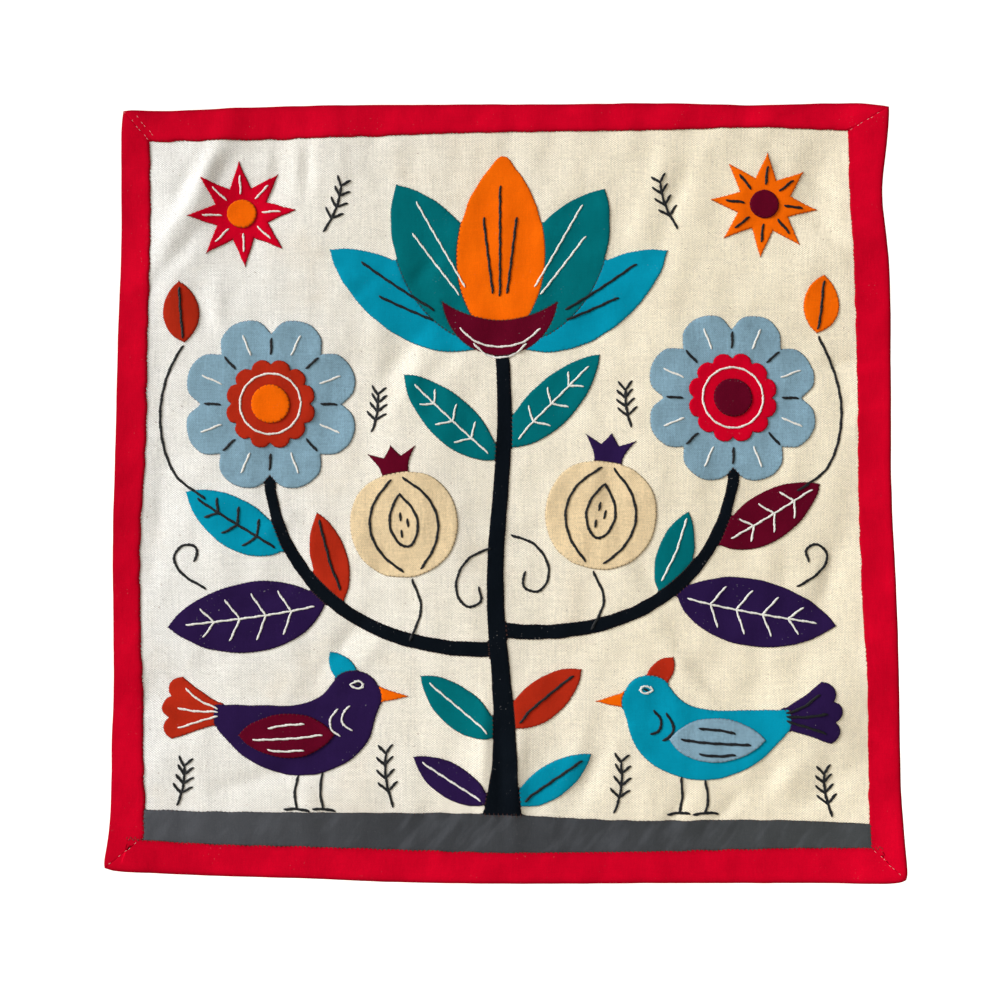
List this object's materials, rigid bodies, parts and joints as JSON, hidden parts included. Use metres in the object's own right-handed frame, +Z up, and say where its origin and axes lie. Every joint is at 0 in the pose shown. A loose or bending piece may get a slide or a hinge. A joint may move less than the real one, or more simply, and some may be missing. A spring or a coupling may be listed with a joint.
{
  "type": "applique wall hanging",
  "caption": "Square cloth wall hanging: cream canvas with sewn-on cotton flowers, leaves, fruits, stars and birds, a grey foot strip and a red mitred edging.",
  "frame": {"origin": "middle of the hanging's top edge, in the plane of the cloth, where what it hangs from holds it", "axes": "+X to the right as it is looked at, +Z up, and the front of the cloth faces -Y"},
  "size_m": [0.5046, 0.0105, 0.4993],
  "materials": {
    "canvas_cream": "unbleached plain-weave cotton canvas, matt",
    "cotton_red": "plain-weave cotton, matt",
    "cotton_grey": "plain-weave cotton, faint diagonal sheen",
    "cotton_black": "plain-weave cotton, matt",
    "cotton_purple": "plain-weave cotton, matt",
    "cotton_maroon": "plain-weave cotton, matt",
    "cotton_rust": "plain-weave cotton, matt",
    "cotton_orange": "plain-weave cotton, matt",
    "cotton_teal": "plain-weave cotton, matt",
    "cotton_turquoise": "plain-weave cotton, matt",
    "cotton_light_blue": "plain-weave cotton, matt",
    "cotton_beige": "plain-weave cotton, matt",
    "thread_black": "stranded cotton thread, soft sheen",
    "thread_white": "stranded cotton thread, soft sheen",
    "thread_sewing": "fine cotton sewing thread"
  },
  "bodies": {
    "root": {"ground": "canvas_cream", "edging_bottom": "cotton_red", "edging_right": "cotton_red", "edging_top": "cotton_red", "edging_left": "cotton_red", "grey_strip": "cotton_grey", "rosette_left": "cotton_light_blue", "rosette_round_left": "cotton_rust", "rosette_button_left": "cotton_orange", "rosette_right": "cotton_light_blue", "rosette_round_right": "cotton_red", "rosette_button_right": "cotton_maroon", "lotus_cup": "cotton_maroon", "petal_middle": "cotton_orange", "petal_inner_left": "cotton_teal", "petal_inner_right": "cotton_teal", "petal_outer_left": "cotton_turquoise", "petal_outer_right": "cotton_turquoise", "trunk": "cotton_black", "branch_left": "cotton_black", "branch_right": "cotton_black", "leaf_upper_left": "cotton_teal", "leaf_upper_right": "cotton_teal", "leaf_outer_left": "cotton_purple", "leaf_outer_right": "cotton_purple", "leaf_climbing_left": "cotton_turquoise", "leaf_climbing_right": "cotton_maroon", "leaf_inner_left": "cotton_rust", "leaf_inner_right": "cotton_teal", "leaf_lower_left": "cotton_teal", "leaf_lower_right": "cotton_rust", "leaf_foot_left": "cotton_purple", "leaf_foot_right": "cotton_turquoise", "bud_left": "cotton_rust", "bud_right": "cotton_orange", "fruit_left": "cotton_beige", "fruit_crown_left": "cotton_maroon", "fruit_right": "cotton_beige", "fruit_crown_right": "cotton_purple", "star_left": "cotton_red", "star_round_left": "cotton_orange", "star_right": "cotton_orange", "star_round_right": "cotton_maroon", "bird_body_left": "cotton_purple", "bird_tail_left": "cotton_rust", "bird_beak_left": "cotton_orange", "bird_crest_left": "cotton_turquoise", "bird_wing_left": "cotton_maroon", "bird_body_right": "cotton_turquoise", "bird_tail_right": "cotton_purple", "bird_beak_right": "cotton_orange", "bird_crest_right": "cotton_rust", "bird_wing_right": "cotton_light_blue"}
  },
  "joints": []
}
